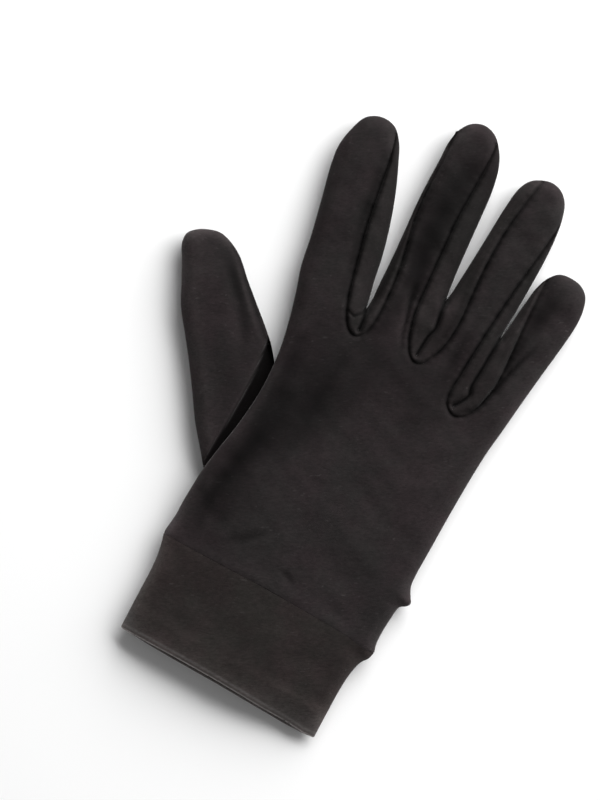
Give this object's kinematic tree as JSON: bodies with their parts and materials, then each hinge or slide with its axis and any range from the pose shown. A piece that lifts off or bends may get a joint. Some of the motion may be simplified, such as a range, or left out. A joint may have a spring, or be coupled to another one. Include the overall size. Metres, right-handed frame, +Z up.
{
  "type": "running glove",
  "caption": "Close-fitting stretch running glove for the right hand, lying flat, with sewn-in walls between the fingers, a separate thumb and a folded cuff band.",
  "frame": {"origin": "middle of the glove's footprint, on the surface it lies on", "axes": "+Y from the hem to the fingertips, +X towards the little finger, +Z up, out of the back of the hand"},
  "size_m": [0.1532, 0.2468, 0.0137],
  "materials": {
    "jersey": "fine brushed stretch jersey, charcoal black",
    "wall_jersey": "the same jersey, turned to the side of the fingers",
    "cuff_jersey": "the same jersey folded double"
  },
  "bodies": {
    "root": {"hand_panel": "jersey", "fourchette_index_middle": "wall_jersey", "fourchette_middle_ring": "wall_jersey", "fourchette_ring_little": "wall_jersey", "thumb": "jersey", "cuff_band": "cuff_jersey"}
  },
  "joints": []
}
